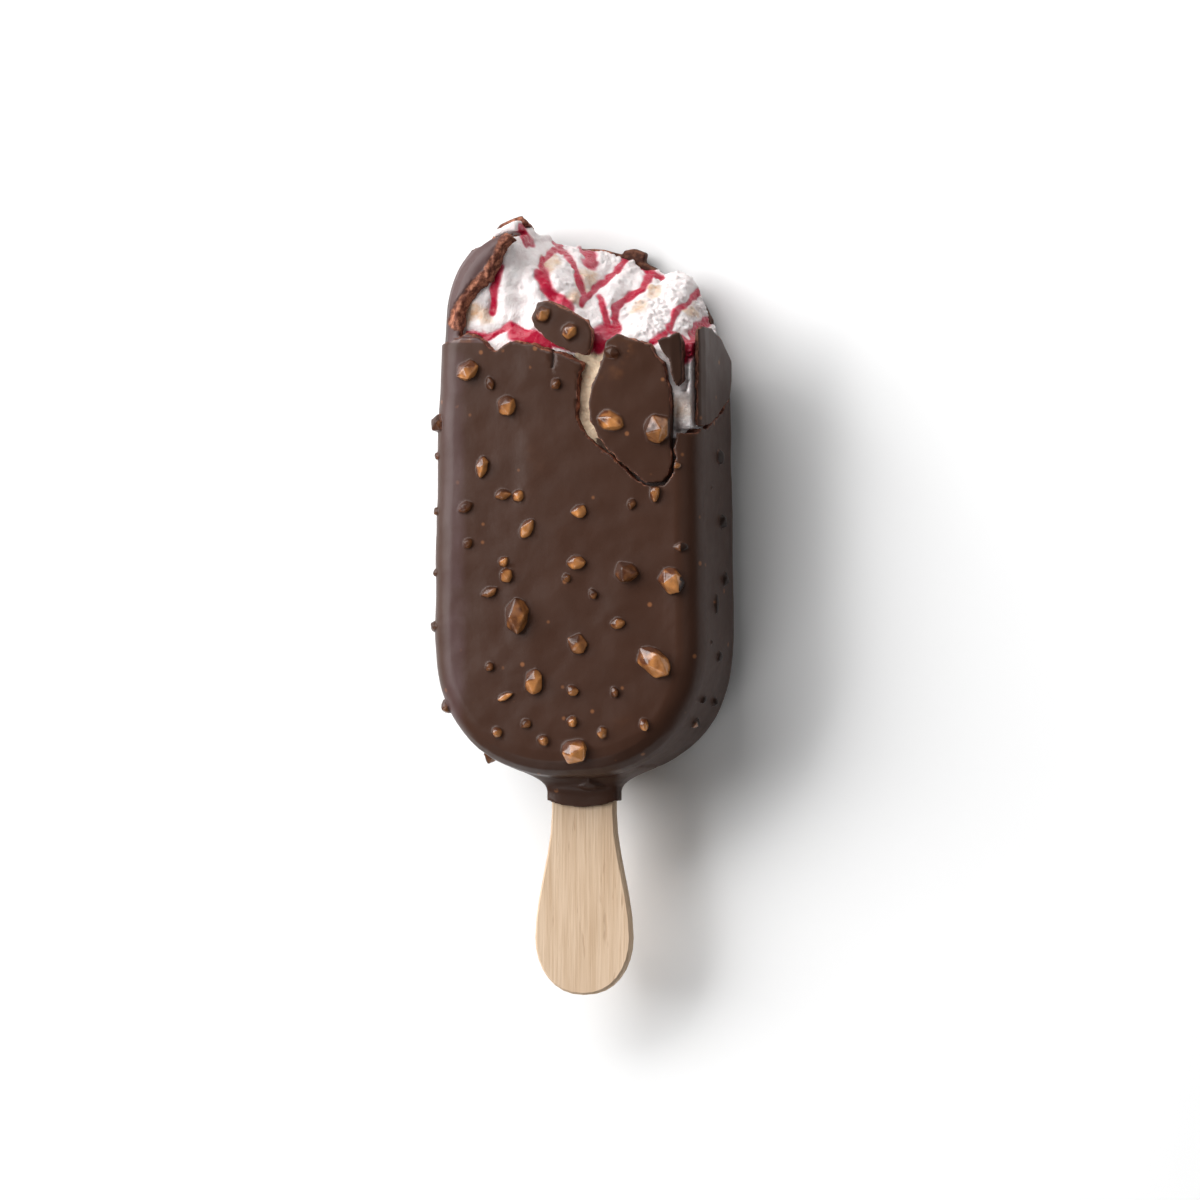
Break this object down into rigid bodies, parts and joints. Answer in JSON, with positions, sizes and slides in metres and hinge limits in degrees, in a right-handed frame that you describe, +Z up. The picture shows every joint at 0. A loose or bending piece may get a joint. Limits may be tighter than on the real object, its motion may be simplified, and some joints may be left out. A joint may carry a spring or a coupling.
{
  "type": "ice cream bar",
  "caption": "Chocolate and nut coated ice cream bar on a flat wooden stick, bitten at one upper corner, lying on its back.",
  "frame": {"origin": "the flat foot of the nut in the middle of the back, on the table", "axes": "+Z up out of the shown front face, +Y along the bar from the stick to the bitten end, +X to the bar's right seen from above"},
  "size_m": [0.0498, 0.1327, 0.0277],
  "materials": {
    "chocolate": "glossy dark chocolate with nut pieces",
    "ice_cream": "crumbly frozen cream with a berry ripple",
    "wood": "plain birch"
  },
  "bodies": {
    "root": {"coating": "chocolate", "flap": "chocolate", "top_chip": "chocolate", "shard": "chocolate", "side_flake": "chocolate", "cream": "ice_cream", "stick": "wood"}
  },
  "joints": []
}
